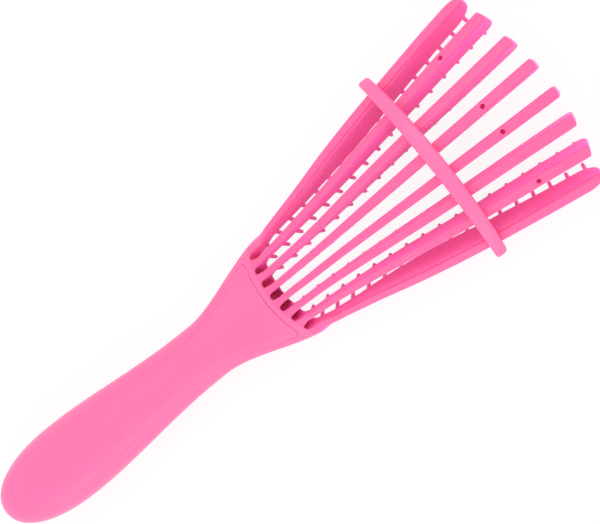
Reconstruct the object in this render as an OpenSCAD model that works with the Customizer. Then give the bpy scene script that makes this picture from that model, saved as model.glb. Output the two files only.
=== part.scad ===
// Detangling brush with eight sprung comb arms, lying on its pegs, back side up.
// Lengths run along Y from the butt of the handle to the tips of the arms.

/* [Handle] */
// Length of the whole brush, from the butt to the longest tips
length = 240; // [200:1:280]
// Width of the handle at its belly
handle_w = 28.1; // [24:0.1:33]
// Thickness of the handle at its belly
handle_t = 23; // [19:0.5:26]
// Distance of the belly from the butt
belly_at = 31; // [24:1:40]
// Fullness of the butt, where 2 is an ellipse
butt_power_share = 2.2; // [2:0.1:3]
// Width of the neck
neck_w = 20.5; // [18:0.1:23]
// Thickness of the neck
neck_t = 14.4; // [12:0.2:17]
// Distance of the neck's near end from the butt
neck_at = 90; // [82:1:94]
// Length of the neck's even stretch
neck_len = 3; // [1:0.5:6]

/* [Head] */
// Width across the back that the head flares to
head_w = 41.3; // [40:0.1:43]
// Distance from the butt at which the flare ends
flare_at = 134.4; // [133:0.1:138]
// Thickness of the head
head_t = 8.8; // [8.4:0.1:10]
// Distance of the middle slot's bottom from the butt
slot_at = 125.7; // [124.4:0.1:127]
// Radius of the bowed line on which the slot bottoms lie
slot_bow_r = 60; // [50:1:80]
// Radius of the round bottom of each slot
slot_r = 1.5; // [1.4:0.05:2]

/* [Back cover] */
// Thickness of the back cover
cover_t = 1.3; // [1:0.1:1.4]
// Width of the handle's rim beside the cover
cover_inset = 3.6; // [3:0.1:5]
// Width of the rim at the corners of the seam
seam_inset = 3; // [2.4:0.1:3.4]
// Radius of the bowed seam across the neck
seam_bow_r = 70; // [60:1:120]
// Distance of the cover's round end from the butt
cover_end = 9; // [7:0.5:14]
// Distance of the seam across the neck from the butt
cover_seam = 122.1; // [118:0.1:122.6]
// Radius of the seam's corners
cover_corner = 1.8; // [1.4:0.1:2.6]
// Gap of the seam round the cover
seam_gap = 0.25; // [0.15:0.05:0.4]
// Radius of the cover's locating pegs
cover_peg_r = 1.5; // [1.2:0.1:2]
// Length of the cover's locating pegs
cover_peg_len = 5; // [3:0.5:7]

/* [Arm layout] */
// Angle between neighbouring arms round the arc of the head, in degrees
arm_angle = 9; // [8.6:0.1:9.4]
// Distance from the butt at which the arms leave the head
root_at = 128.3; // [127.8:0.1:129]
// Radius of the arc of the arms' backs where they leave the head
root_r = 33.1; // [32:0.1:34]
// Radius of the arc of the arms' backs at the tips
tip_r = 72.3; // [68:0.1:77]
// Radius of the bowed line on which the tips lie
tip_bow_r = 115; // [100:5:200]
// How far the chord of the arms' backs rises from the head to the tips
arm_rise = 5.6; // [3:0.1:7]
// Height of the arch of each arm's back over its own chord
arm_arch = 3.4; // [1:0.1:4.4]
// How far each arm bends towards the middle just past its root
arm_ease = 0.5; // [0.2:0.1:0.8]

/* [Arms] */
// Thickness of an arm at its root
arm_root_w = 2.2; // [2.1:0.05:2.5]
// Thickness of an arm's back at its tip
arm_tip_w = 4.1; // [3.6:0.1:4.4]
// Depth of an arm's blade at its root
arm_root_d = 4.8; // [4.7:0.1:5.5]
// Depth of an inner arm's blade midway
arm_mid_d = 7.6; // [7:0.1:8.5]
// Depth of an inner arm's blade at its tip
arm_tip_d = 8; // [7:0.1:9]
// Depth of an outer arm's blade midway
outer_mid_d = 12; // [10:0.2:13]
// Depth of an outer arm's blade at its tip
outer_tip_d = 9.2; // [8:0.2:10]
// Outward bow of an outer arm midway
outer_bow = 1.5; // [0.8:0.1:2]
// Depth of the step below an outer arm's back
step_d = 1; // [0.6:0.1:1.5]
// Width of the ledge on that step
step_w = 0.7; // [0.4:0.1:1]
// Radius of an arm's edges
edge_r = 0.5; // [0.3:0.05:0.6]
// Radius of the small gate dimple on an arm's back
dimple_r = 0.85; // [0.6:0.05:1]
// Distance of the gate dimples from the end of the longest tips
dimple_in = 22.3; // [16:0.1:30]
// Depth of a gate dimple
dimple_d = 0.5; // [0.3:0.1:0.8]

/* [Pegs] */
// Pegs in each arm's row
peg_count = 17; // [12:1:19]
// Distance of the first peg from the butt
peg_first_at = 131.8; // [131.8:0.1:135]
// Distance of each arm's last peg from its tip
peg_last_in = 4.5; // [4:0.5:8]
// Length that a peg stands out of its arm
peg_len = 5; // [4:0.1:6.5]
// Radius of a peg at its foot
peg_foot_r = 0.85; // [0.7:0.05:0.9]
// Radius of a peg's round tip
peg_tip_r = 0.6; // [0.45:0.05:0.65]

/* [Arm joints] */
// Radius of the barrel at an arm's root
barrel_r = 1.45; // [1.3:0.05:1.5]
// Depth of the barrel's axis below the back of the head
barrel_d = 3.85; // [3.8:0.05:3.95]
// Distance of the barrels behind the line of the slot bottoms
barrel_back = 3; // [2.9:0.05:3.3]
// Height of the neck between an arm's barrel and its blade
barrel_neck = 1.5; // [1.3:0.1:1.6]
// Clearance round a barrel in its socket
joint_gap = 0.25; // [0.2:0.01:0.28]
// How far an inner arm flexes towards the pegs, in degrees
arm_flex = 6; // [3:1:6]
// How far the outer frame flexes towards the back, in degrees
frame_flex = 5; // [3:1:5]

/* [Crossbar] */
// Distance of the crossbar's ends from the end of the longest tips
bar_in = 46.2; // [40:0.1:60]
// Bow of the crossbar towards the tips
bar_bow = 3.8; // [2:0.1:5]
// Width of the crossbar along the brush, at its middle
bar_w = 5.1; // [4.6:0.1:5.8]
// Width of the crossbar at its ends
bar_end_w = 4.2; // [3.4:0.1:4.6]
// Thickness of the crossbar
bar_t = 3; // [2.6:0.1:4]
// How far the crossbar's ends stand out past the outer arms
bar_over = 3.4; // [3.2:0.1:5]
// Gap between the crossbar and the backs of the arms
bar_gap = 0.35; // [0.3:0.05:0.5]
// Thickness of the hook at each end of the crossbar
hook_t = 1.6; // [1.3:0.1:2]
// Width of each hook along its arm
hook_w = 3.6; // [3:0.1:4]
// How far each hook reaches down beside its arm
hook_d = 4.4; // [4:0.1:5.5]
// Gap between a hook and its arm
hook_gap = 0.15; // [0.1:0.05:0.3]
// Radius of the snap pin inside each hook
snap_r = 0.8; // [0.6:0.05:0.9]
// Length of the snap pin
snap_len = 1.3; // [1:0.1:1.5]
// Clearance round the snap pin in its hole
snap_gap = 0.1; // [0.05:0.01:0.15]

/* [Hidden] */

pink = "#ff80b0";
pink_arm = "#ff74a8";
pink_bar = "#ff7cae";

// Overrun of every cut past the face it opens
cut = 1;
// Facets of round cuts and pegs
round_fn = 32;
// Points round a section of the handle, and stations along it from the belly on
shell_points = 36;
shell_stations = 26;
// Angles at which sections round off the butt, in degrees
butt_angles = [3, 10, 20, 30, 40, 50, 60, 70, 80];
// Squareness of the handle's sections at the belly and at the head
belly_power_share = 2.2;
head_power_share = 6;
// Share of the bend below which a section counts as straight
straight_share = 0.001;
// Share of the blade's thickness left at its front edge
draft_share = 0.78;
// Where along an arm its blade is deepest, as a share of its length
deep_share = 0.48;
// Stations along an arm's blade between its root and its tip
arm_stations = 10;
// Angles of the rounding at a tip, in degrees
tip_angles = [0, 30, 55, 75, 90];
// Slant of the tips that each arm adds to its inner neighbour's
slant_share = 0.15;
// Share of its width that an outer arm's tip rounds off, and that run's length in widths
tusk_share = 0.86;
tusk_run_share = 1.4;
// Share of the ledge left where it has faded out
ledge_rest_share = 0.15;
// Stretch of an outer arm over which the ledge rises and fades, as shares of its length
ledge_rise_share = [0.12, 0.3];
ledge_fade_share = [0.68, 0.85];
// Stations along the crossbar and points round its section
bar_stations = 24;
bar_points = 14;
bar_power_share = 4;
// Inner radius of the peg's foot in its blade, as a share of the blade's depth
peg_sink_share = 0.12;
// Length of the cover's round end, as a share of its length
cover_round_share = 0.13;
// Places of the cover's pegs, as shares of the cover's length
cover_peg_shares = [0.3, 0.8];
// Angles of the cover's round end and of its corners, in degrees
cover_end_angles = [0 : 10 : 80];
cover_corner_angles = [0 : 15 : 75];
// Stretches of half the seam across the neck
seam_stations = 4;
// Reach of a socket's mouth, as a share of the barrel's distance behind the slots
mouth_share = 0.86;
// Place of a slot's round bottom past the line of slots, as a share of its radius
scoop_share = 0.6;
// Most of a blade's thickness that one rounded edge takes
edge_most_share = 0.25;
// Place of the middle point of a rounded edge, as a share of its radius
edge_mid_share = 0.3;
// Stretch of an arm over which it bends towards the middle, as a share of its length
ease_share = 0.6;
// Peak of t (1 - t) (1 - t), by which that bend is divided
ease_peak_share = 4 / 27;
// Angles of the crossbar's rounded ends in degrees, and the least of its section there
bar_end_angles = [30 : 20 : 90];
bar_least_share = 0.3;

half_count = 4;
socket_r = barrel_r + joint_gap;
mouth_reach = barrel_back * mouth_share;
face_gap = joint_gap;
bar_at = length - bar_in;

function clamp(t) = min(max(t, 0), 1);
function smooth(t) = clamp(t) * clamp(t) * (3 - 2 * clamp(t));
function mix(a, b, t) = a + (b - a) * t;
function power(c, p) = sign(c) * pow(abs(c), 2 / p);

// Rate at which the arc of the arms' backs widens along the brush
arc_rate = (tip_r - root_r) / (length - root_at);
function arc_r(y) = root_r + arc_rate * (y - root_at);
// Rate at which the line of their backs rises, and its height at y
rise_rate = arm_rise / (length - root_at);
function line_z(y) = top_z - rise_rate * (length - y);
function tilt(i) = (i - 0.5) * arm_angle;
function sag(r, x) = r - sqrt(r * r - x * x);

// Y of the line of slot bottoms at a distance x from the middle
function slot_line(x) = slot_at + sag(slot_bow_r, x);
// Y of an arm's barrel
function barrel_y(i) = slot_line(arc_r(slot_at) * sin(tilt(i))) - barrel_back;
// Slope of an arm in plan and in side view, in degrees
function yaw(i) = atan(arc_rate * sin(tilt(i)));
function fall(i) = atan((rise_rate - arc_rate * (1 - cos(tilt(i)))) * cos(yaw(i)));
// Y of an arm's tip
tip_x1 = arc_r(length) * sin(tilt(1));
function tip_y(i) = length - (pow(arc_r(length) * sin(tilt(i)), 2) - pow(tip_x1, 2)) / (2 * tip_bow_r);
// Length along an arm for a run along Y
function along(i, run) = run / (cos(yaw(i)) * cos(fall(i)));
function arm_len(i) = along(i, tip_y(i) - barrel_y(i));
function arm_share(i, y) = y / arm_len(i);
// Where the blade starts in front of the barrel, and the share of the blade's length at y
blade_y0 = mouth_reach + face_gap;
function blade_share(i, y) = max(0, (y - blade_y0) / (arm_len(i) - blade_y0));

// Width of an arm's back, depth of its blade and its outward bow, at y along the arm
function back_w(i, y) = mix(arm_root_w, arm_tip_w, arm_share(i, y));
function mid_d(i) = i == half_count ? outer_mid_d : arm_mid_d;
function tip_d(i) = i == half_count ? outer_tip_d : arm_tip_d;
function blade_d(i, y) =
  arm_share(i, y) < deep_share
    ? mix(arm_root_d, mid_d(i), smooth(arm_share(i, y) / deep_share))
    : mix(mid_d(i), tip_d(i), smooth((arm_share(i, y) - deep_share) / (1 - deep_share)));
function hump(t) = 4 * t * (1 - t);
function ease(t) = t < 1 ? t * (1 - t) * (1 - t) / ease_peak_share : 0;
function sway(i, y) =
  (i == half_count ? outer_bow * hump(blade_share(i, y)) : 0)
  - arm_ease * ease(blade_share(i, y) / ease_share);
// Upright height of an arm's arch, and what that gives across its blade and out of its back
function lift(i, y) = arm_arch * hump(blade_share(i, y));
function bow(i, y) = sway(i, y) - lift(i, y) * sin(tilt(i));
function arch(i, y) = lift(i, y) * cos(tilt(i));
// Angle of the slope of an arm's back
function arch_angle(i, y) =
  atan(4 * arm_arch * cos(tilt(i)) * (1 - 2 * blade_share(i, y)) / (arm_len(i) - blade_y0));
function ledge(i, y) =
  i == half_count
    ? step_w * max(ledge_rest_share,
        min(smooth((arm_share(i, y) - ledge_rise_share[0]) / (ledge_rise_share[1] - ledge_rise_share[0])),
            smooth((ledge_fade_share[1] - arm_share(i, y)) / (ledge_fade_share[1] - ledge_fade_share[0]))))
    : 0;

// Places of the pegs along an arm
function peg_y(i, n) =
  along(i, mix(peg_first_at, tip_y(i) - peg_last_in, n / (peg_count - 1)) - barrel_y(i));
// Length of a peg up to the middle of its round tip
peg_reach = peg_len - peg_tip_r;

// Height that a point of an arm's own frame hangs below the arm's origin
function hang(i, x, y, z) =
  y * sin(fall(i)) + (z * cos(tilt(i)) - x * sin(tilt(i))) * cos(fall(i));
// Height of an arm's origin below the top line of the arms
function arm_drop(i) = arc_r(barrel_y(i)) * (1 - cos(tilt(i))) + rise_rate * (length - barrel_y(i));
// Lowest point of the outer arms' pegs, below that top line
function peg_low(n) =
  let (i = half_count,
       y = peg_y(i, n),
       turn = arch_angle(i, y))
  hang(i, bow(i, y), y + peg_reach * sin(turn), arch(i, y) - blade_d(i, y) - peg_reach * cos(turn))
  - arm_drop(i) - peg_tip_r;
// Height of the top line, at which the lowest pegs stand on the ground
top_z = -min([for (n = [0 : peg_count - 1]) peg_low(n)]);

// Puts a shape in the frame of an arm: X across its blade, Y along it, Z out of its back
module at_arm(i) {
  translate([arc_r(barrel_y(i)) * sin(tilt(i)), barrel_y(i) - length / 2, top_z - arm_drop(i)])
    rotate([0, 0, -yaw(i)])
      rotate([fall(i), 0, 0])
        rotate([0, tilt(i), 0])
          children();
}

// Extrudes an outline drawn in Y and Z between two places across X
module across(x0, x1) {
  translate([x0, 0, 0])
    rotate([90, 0, 90])
      linear_extrude(x1 - x0)
        children();
}

// Skin over a list of rings with equal counts of points, closed by its end rings
module skin(rings) {
  n = len(rings[0]);
  m = len(rings);
  points = [for (ring = rings) each ring];
  sides = [for (j = [0 : m - 2]) for (k = [0 : n - 1]) each [
    [j * n + k, (j + 1) * n + k, (j + 1) * n + (k + 1) % n],
    [j * n + k, (j + 1) * n + (k + 1) % n, j * n + (k + 1) % n]]];
  near = [for (k = [0 : n - 1]) k];
  far = [for (k = [n - 1 : -1 : 0]) (m - 1) * n + k];
  polyhedron(points = points, faces = concat(sides, [near, far]), convexity = 8);
}

// Half width of the handle and head at y
function half_w(y) =
  y < belly_at ? handle_w / 2 * pow(1 - pow(1 - y / belly_at, butt_power_share), 1 / butt_power_share)
  : y < neck_at ? mix(handle_w, neck_w, smooth((y - belly_at) / (neck_at - belly_at))) / 2
  : mix(neck_w, head_w, smooth((y - neck_at - neck_len) / (flare_at - neck_at - neck_len))) / 2;
// Half thickness of the handle and head at y
function half_t(y) =
  y < belly_at ? handle_t / 2 * pow(1 - pow(1 - y / belly_at, butt_power_share), 1 / butt_power_share)
  : y < neck_at ? mix(handle_t, neck_t, smooth((y - belly_at) / (neck_at - belly_at))) / 2
  : mix(neck_t, head_t, smooth((y - neck_at) / (slot_at - barrel_back - neck_at))) / 2;
// Height of the middle of the section, which rises from the belly to the head
function mid_z(y) =
  mix(handle_t / 2, line_z(slot_at) - head_t / 2, pow(max(0, y - belly_at) / (slot_at - belly_at), 2));
// Share of the head's arc that a section has taken on, and the radius it is bent to
function bend(y) = smooth((y - neck_at) / (slot_at - barrel_back - neck_at));
function bend_r(y) = arc_r(slot_at) / max(bend(y), straight_share);
function squareness(y) =
  mix(belly_power_share, head_power_share, smooth((y - neck_at) / (slot_at - neck_at)));

// Section at y: a full oval that turns into a slab bent round the arc of the arms
function shell_ring(y) = [
  for (k = [0 : shell_points - 1])
    let (a = -360 * k / shell_points,
         p = squareness(y),
         up = sign(round(shell_points * sin(a))),
         z = half_t(y) * (up * pow(1 - pow(abs(cos(a)), p), 1 / p) - 1),
         turn = cos(a) * asin(half_w(y) / bend_r(y)))
      [(bend_r(y) + z) * sin(turn), y - length / 2,
       mid_z(y) + half_t(y) + (bend_r(y) + z) * cos(turn) - bend_r(y)]
];

// Stations of the handle: close together round the butt, then evenly up to past the slots
shell_ys = concat(
  [for (turn = butt_angles) belly_at * (1 - cos(turn))],
  [for (k = [0 : shell_stations]) mix(belly_at, flare_at, k / shell_stations)]);

module shell_body() {
  skin([for (y = shell_ys) shell_ring(y)]);
}

// Half width of the back cover at y, grown by g
function cover_half(g, y) =
  half_w(y) + g - mix(cover_inset, seam_inset, smooth((y - neck_at) / (cover_seam - neck_at)));
// Y of the seam across the neck at a distance x from the middle
function seam_line(x) = cover_seam + sag(seam_bow_r, x);

// Outline of the back cover in plan, grown by g: a round end, the sides, the corners, the seam
module cover_outline(g) {
  y0 = cover_end - g;
  r = cover_corner + g;
  flare_y = cover_seam - cover_corner;
  flare = atan((cover_half(g, flare_y) - cover_half(g, flare_y - cover_corner)) / cover_corner);
  corner_x = cover_half(g, flare_y) - r * cos(flare);
  corner_y = seam_line(corner_x) + g - r;
  side_end = corner_y - r * sin(flare);
  round = cover_round_share * (side_end - y0);
  near = [for (a = cover_end_angles)
    [cover_half(g, y0 + round) * sin(a), y0 + round * (1 - cos(a))]];
  side = [for (k = [0 : shell_stations])
    let (y = mix(y0 + round, side_end, k / shell_stations)) [cover_half(g, y), y]];
  corner = [for (a = cover_corner_angles) [corner_x + r * cos(a), corner_y + r * sin(a)]];
  seam = [for (k = [seam_stations : -1 : 0])
    let (x = corner_x * k / seam_stations) [x, seam_line(x) + g]];
  right = concat(near, side, corner, seam);
  left = [for (k = [len(right) - 2 : -1 : 1]) [-right[k][0], right[k][1]]];
  translate([0, -length / 2])
    polygon(concat(right, left));
}

module cover_prism(g) {
  linear_extrude(2 * top_z)
    cover_outline(g);
}

function cover_peg_y(n) = mix(cover_end, cover_seam, cover_peg_shares[n]);

module cover_pegs(r, extra) {
  for (n = [0, 1]) {
    y = cover_peg_y(n);
    seat = mid_z(y) + half_t(y) - cover_t;
    translate([0, y - length / 2, seat - cover_peg_len - extra])
      cylinder(r = r, h = cover_peg_len + extra + cover_t / 2, $fn = round_fn);
  }
}

// Room for an arm's barrel and for the neck that flexes in its mouth, drawn in Y and Z
module socket_outline(flex) {
  mouth = barrel_neck / 2 + joint_gap;
  reach = mouth_reach + cut;
  translate([0, -barrel_d]) {
    circle(r = socket_r, $fn = round_fn);
    polygon([
      [0, mouth],
      [reach, mouth + reach * sin(flex)],
      [reach, -mouth - reach * sin(flex)],
      [0, -mouth]]);
  }
}

// Room for the root of an arm's blade in front of its mouth
module lane_outline() {
  translate([mouth_reach, -head_t - root_r])
    square([flare_at - slot_at + cut, head_t + 2 * root_r]);
}

module sockets() {
  half = arm_root_w / 2 + joint_gap;
  for (i = [1 : half_count])
    at_arm(i) {
      across(-half, half)
        socket_outline(i == half_count ? frame_flex : arm_flex);
      across(-half, i == half_count ? head_w : half)
        lane_outline();
    }
}

// Round bottoms of the slots on one side, the middle slot apart
module slot_scoop(i) {
  a = i * arm_angle;
  x = arc_r(slot_at) * sin(a);
  z = line_z(slot_at) - arc_r(slot_at) * (1 - cos(a)) - head_t / 2;
  translate([x, slot_line(x) + slot_r * scoop_share - length / 2, z])
    rotate([0, a, 0])
      cylinder(r = slot_r, h = 2 * head_t, center = true, $fn = round_fn);
}

module handle_shell() {
  color(pink)
    difference() {
      shell_body();
      difference() {
        cover_prism(seam_gap);
        translate([0, 0, -cover_t])
          shell_body();
      }
      cover_pegs(cover_peg_r + snap_gap, snap_gap);
      translate([0, slot_at + slot_bow_r - length / 2, 0])
        cylinder(r = slot_bow_r, h = 2 * top_z, $fn = 4 * round_fn);
      for (side = [0, 1])
        mirror([side, 0, 0]) {
          sockets();
          for (i = [1 : half_count - 1])
            slot_scoop(i);
        }
      slot_scoop(0);
    }
}

module back_cover() {
  color(pink) {
    difference() {
      intersection() {
        shell_body();
        cover_prism(0);
      }
      translate([0, 0, seam_gap / 2 - cover_t])
        shell_body();
    }
    cover_pegs(cover_peg_r, 0);
  }
}

// Section of a blade: its back between x_in and x_out, with rounded edges, a ledge and draft
function blade_section(x_in, x_out, d, shelf) =
  let (r = min(edge_r, (x_out - x_in) * edge_most_share),
       m = r * edge_mid_share,
       mid = (x_in + x_out) / 2,
       f_in = mid + (x_in - mid) * draft_share,
       f_out = mid + (x_out - mid) * draft_share)
  [[x_out - r, 0], [x_out - m, -m], [x_out, -r],
   [f_out, r - d], [f_out - m, m - d], [f_out - r, -d],
   [f_in + r, -d], [f_in + m, m - d], [f_in, r - d],
   [x_in - shelf, -r - step_d - shelf], [x_in - shelf, -r - step_d], [x_in, -step_d],
   [x_in, -r], [x_in + m, -m], [x_in + r, 0]];

// Ring of a blade at y, with a turn of its tip's rounding and a lean of its end face
function blade_ring(i, y, turn, lean) =
  let (w = back_w(i, y),
       cut_in = edge_r * (1 - cos(turn)),
       cut_out = i == half_count ? w * tusk_share * (1 - cos(turn)) : edge_r * (1 - cos(turn)),
       slant = i == half_count ? 0 : slant_share * (i - 1) * sin(turn),
       d = blade_d(i, y) - 2 * edge_r * (1 - cos(turn)))
  [for (p = blade_section(bow(i, y) - w / 2 + cut_in, bow(i, y) + w / 2 - cut_out, d, ledge(i, y)))
    let (back = lean > 0 ? -p[1] : -p[1] - d)
      [p[0], y - slant * (p[0] + w / 2) + lean * back, p[1] + arch(i, y)]];

module blade(i) {
  y1 = arm_len(i) - (i == half_count ? tusk_run_share * arm_tip_w : 2 * edge_r);
  lean = i == half_count ? -tan(frame_flex) : tan(arm_flex);
  body = [for (k = [0 : arm_stations])
    blade_ring(i, mix(blade_y0, y1, k / arm_stations), 0, k == 0 ? lean : 0)];
  end = [for (k = [1 : len(tip_angles) - 1])
    blade_ring(i, y1 + (arm_len(i) - y1) * sin(tip_angles[k]), tip_angles[k], 0)];
  skin(concat(body, end));
}

module peg(i, n) {
  y = peg_y(i, n);
  d = blade_d(i, y);
  sink = d * peg_sink_share;
  translate([bow(i, y), y, arch(i, y) - d])
    rotate([arch_angle(i, y), 0, 0])
      translate([0, 0, -peg_reach]) {
        cylinder(r1 = peg_tip_r, r2 = peg_foot_r, h = peg_reach + sink, $fn = round_fn);
        sphere(r = peg_tip_r, $fn = round_fn);
      }
}

// Barrel and neck at an arm's root, drawn in Y and Z
module root_outline() {
  translate([0, -barrel_d])
    circle(r = barrel_r, $fn = round_fn);
  translate([0, -barrel_d - barrel_neck / 2])
    square([mouth_reach + cut, barrel_neck]);
}

// Place of the crossbar's end along an outer arm
bar_y = along(half_count, bar_at - barrel_y(half_count));
// Outer face of an outer arm at the crossbar
bar_face = bow(half_count, bar_y) + back_w(half_count, bar_y) / 2;
// Height of that arm's back there, and of the snap pin below it
bar_z = arch(half_count, bar_y);
snap_z = bar_z - (hook_d + bar_gap) / 2;

module snap_pin(r, extra) {
  translate([bar_face + hook_gap - snap_len - extra, bar_y, snap_z])
    rotate([0, 90, 0])
      cylinder(r = r, h = snap_len + extra + hook_gap, $fn = round_fn);
}

module dimple(i) {
  y = along(i, length - dimple_in - barrel_y(i));
  translate([bow(i, y), y, arch(i, y) - dimple_d])
    cylinder(r = dimple_r, h = dimple_d + cut, $fn = round_fn);
}

module arm(i) {
  color(pink_arm)
    at_arm(i)
      difference() {
        union() {
          blade(i);
          across(-arm_root_w / 2, arm_root_w / 2)
            root_outline();
          for (n = [0 : peg_count - 1])
            peg(i, n);
        }
        if (i == 1 || i == 3)
          dimple(i);
        if (i == half_count)
          snap_pin(snap_r + snap_gap, snap_gap);
      }
}

module arm_1() { mirror([1, 0, 0]) arm(4); }
module arm_2() { mirror([1, 0, 0]) arm(3); }
module arm_3() { mirror([1, 0, 0]) arm(2); }
module arm_4() { mirror([1, 0, 0]) arm(1); }
module arm_5() { arm(1); }
module arm_6() { arm(2); }
module arm_7() { arm(3); }
module arm_8() { arm(4); }

// Radius of the arc along the middle of the crossbar where it crosses the arms at y
function bar_arc_r(y) = arc_r(y) + bar_gap + bar_t / 2;
// Run of the crossbar past the middle of an outer arm, and half the angle that it spans
bar_past = sway(half_count, bar_y) + back_w(half_count, bar_y) / 2 + bar_over;
bar_half = tilt(half_count) + bar_past / bar_arc_r(bar_at) * 180 / PI;

// Ring of the crossbar at a share s of its half span, from -1 to 1
function bar_ring(s, size) = [
  for (k = [0 : bar_points - 1])
    let (q = 360 * (k + 0.5) / bar_points,
         a = bar_half * s,
         y0 = bar_at + bar_bow * (1 - s * s),
         w = mix(bar_w, bar_end_w, s * s),
         y = y0 + w / 2 * size * power(cos(q), bar_power_share),
         r = bar_arc_r(y0) + bar_t / 2 * size * power(sin(q), bar_power_share))
      [r * sin(a), y - length / 2, line_z(y0) + lift(half_count, bar_y) - arc_r(y0) + r * cos(a)]
];

// The ends are round: the section shrinks over the last half width
bar_end_share = bar_end_w / 2 / (bar_arc_r(bar_at) * bar_half * PI / 180);
function bar_size(s) =
  let (past = max(0, abs(s) - 1 + bar_end_share) / bar_end_share)
    max(bar_least_share, pow(max(0, 1 - pow(past, bar_power_share)), 1 / bar_power_share));
bar_inner = [for (k = [0 : bar_stations]) mix(-1, 1, k / bar_stations) * (1 - bar_end_share)];
bar_caps = [for (a = bar_end_angles) 1 - bar_end_share + bar_end_share * sin(a)];
bar_shares = concat([for (k = [len(bar_caps) - 1 : -1 : 0]) -bar_caps[k]], bar_inner, bar_caps);

module hook() {
  at_arm(half_count) {
    translate([bar_face + hook_gap, bar_y - hook_w / 2, bar_z - hook_d])
      cube([hook_t, hook_w, hook_d + bar_gap + bar_t / 2]);
    snap_pin(snap_r, 0);
  }
}

module crossbar() {
  color(pink_bar) {
    skin([for (s = bar_shares) bar_ring(s, bar_size(s))]);
    hook();
    mirror([1, 0, 0])
      hook();
  }
}

handle_shell();
back_cover();
arm_1();
arm_2();
arm_3();
arm_4();
arm_5();
arm_6();
arm_7();
arm_8();
crossbar();
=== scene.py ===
import math

import bmesh
import bpy
import numpy as np
from mathutils import Matrix


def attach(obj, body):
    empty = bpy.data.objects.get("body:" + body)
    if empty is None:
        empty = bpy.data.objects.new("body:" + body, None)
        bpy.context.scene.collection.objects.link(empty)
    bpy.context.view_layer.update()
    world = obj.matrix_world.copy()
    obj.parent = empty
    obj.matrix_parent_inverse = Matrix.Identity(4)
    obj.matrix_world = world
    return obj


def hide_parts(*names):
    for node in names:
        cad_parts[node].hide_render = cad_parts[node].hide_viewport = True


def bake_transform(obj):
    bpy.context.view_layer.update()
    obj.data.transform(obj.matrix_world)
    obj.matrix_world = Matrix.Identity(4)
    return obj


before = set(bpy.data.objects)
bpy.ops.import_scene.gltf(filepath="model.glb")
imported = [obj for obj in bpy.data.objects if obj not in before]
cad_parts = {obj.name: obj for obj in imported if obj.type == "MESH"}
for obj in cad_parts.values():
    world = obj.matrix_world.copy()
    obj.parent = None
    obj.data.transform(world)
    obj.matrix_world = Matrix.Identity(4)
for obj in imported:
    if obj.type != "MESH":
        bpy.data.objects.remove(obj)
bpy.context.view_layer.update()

# Sizes, in millimetres
MM = 0.001
LENGTH = 240.0
HANDLE_W, HANDLE_T, BELLY_AT, BUTT_POWER, BELLY_POWER = 28.1, 23.0, 31.0, 2.2, 2.2
NECK_W, NECK_T, NECK_AT, NECK_LEN = 20.5, 14.4, 90.0, 3.0
HEAD_W, HEAD_T, HEAD_POWER, FLARE_AT = 41.3, 8.8, 6.0, 134.4
SLOT_AT, SLOT_BOW = 125.7, 60.0
COVER_T, COVER_INSET, SEAM_INSET, SEAM_BOW = 1.3, 3.6, 3.0, 70.0
COVER_END, COVER_SEAM, COVER_CORNER = 9.0, 122.1, 1.8
COVER_ROUND = 0.13 * (COVER_SEAM - COVER_CORNER - COVER_END)
# gap and rounded lips of the cover's seam: soft along the sides, crisp across the neck
SIDE_GAP, NECK_GAP = 0.03, 0.13
SIDE_LIP, NECK_LIP = (0.16, 2.4), (0.2, 0.6)
# stations where the sides' soft lip turns into the neck's crisp one, and its run
LIP_TURN, GAP_RUN, LIP_RUN = 114.0, 6.0, 7.0
ROOT_CUT = 124.2
# a slot's end: where its hollow starts, how far it runs out, its floor and ceilings as shares through
# the head, and how far its notch reaches back
POCKET_AT, POCKET_OUT, NOTCH = 121.9, 2.0, 1.3
POCKET_LOW, HOLLOW_HIGH, NOTCH_HIGH = -0.6, 0.66, 1.3
HALF = 4
ARM_ANGLE, ROOT_AT, ROOT_R, TIP_R, TIP_BOW = 9.0, 128.3, 33.1, 72.3, 115.0
ARM_RISE, ARM_ARCH, ARM_EASE, EASE_SHARE = 5.6, 3.4, 0.5, 0.6
ARM_ROOT_W, ARM_TIP_W = 2.2, 4.1
ARM_ROOT_D, ARM_MID_D, ARM_TIP_D = 4.8, 7.6, 8.0
OUTER_MID_D, OUTER_TIP_D, OUTER_BOW = 12.0, 9.2, 1.5
DEEP, DRAFT, SLANT, TUSK, TUSK_RUN = 0.48, 0.78, 0.15, 0.86, 1.4
STEP_D, STEP_W, EDGE_R = 1.0, 0.7, 0.5
DIMPLE_R, DIMPLE_IN, DIMPLE_D = 0.88, {1: 20.5, 3: 22.0}, 3.2
PEGS, PEG_FIRST, PEG_LAST_IN, PEG_LEN = 17, 131.8, 4.5, 5.0
PEG_FOOT, PEG_TIP = 0.85, 0.6
INNER_PEG, ROOT_PEG, INNER_SINK, OUTER_SINK = 3.3, 4.8, 2.4, 3.2
# how much shallower than its solid each blade's skin is, in millimetres, at shares of the arm's
# length, fitted to the blades' lower edges in the photograph
THIN_AT = (0, 0.2, 0.32, 0.43, 0.55, 0.65, 0.8, 1)
THIN = {1: (1.2, 1.5, 2.0, 2.05, 1.7, 1.3, 0.8, 0.4), 2: (1.9, 1.7, 1.4, 1.0, 0.4, -0.1, -0.5, -0.4),
        3: (1.9, 2.0, 1.6, 0.9, 0.2, 0.0, -0.1, -0.3), 4: (1.9, 1.9, 1.6, 1.0, 0.3, 0.0, 0.0, 0.0),
        5: (1.9, 1.9, 1.6, 1.0, 0.3, 0.0, 0.0, 0.0), 6: (1.9, 2.0, 1.7, 1.2, 0.5, 0.1, 0.0, 0.0),
        7: (1.9, 1.6, 0.9, 0.3, -0.3, -1.0, -1.3, -1.0), 8: (1.2, 1.4, 0.7, 0.4, 0.3, 0.3, 0.1, 0.0)}
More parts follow.
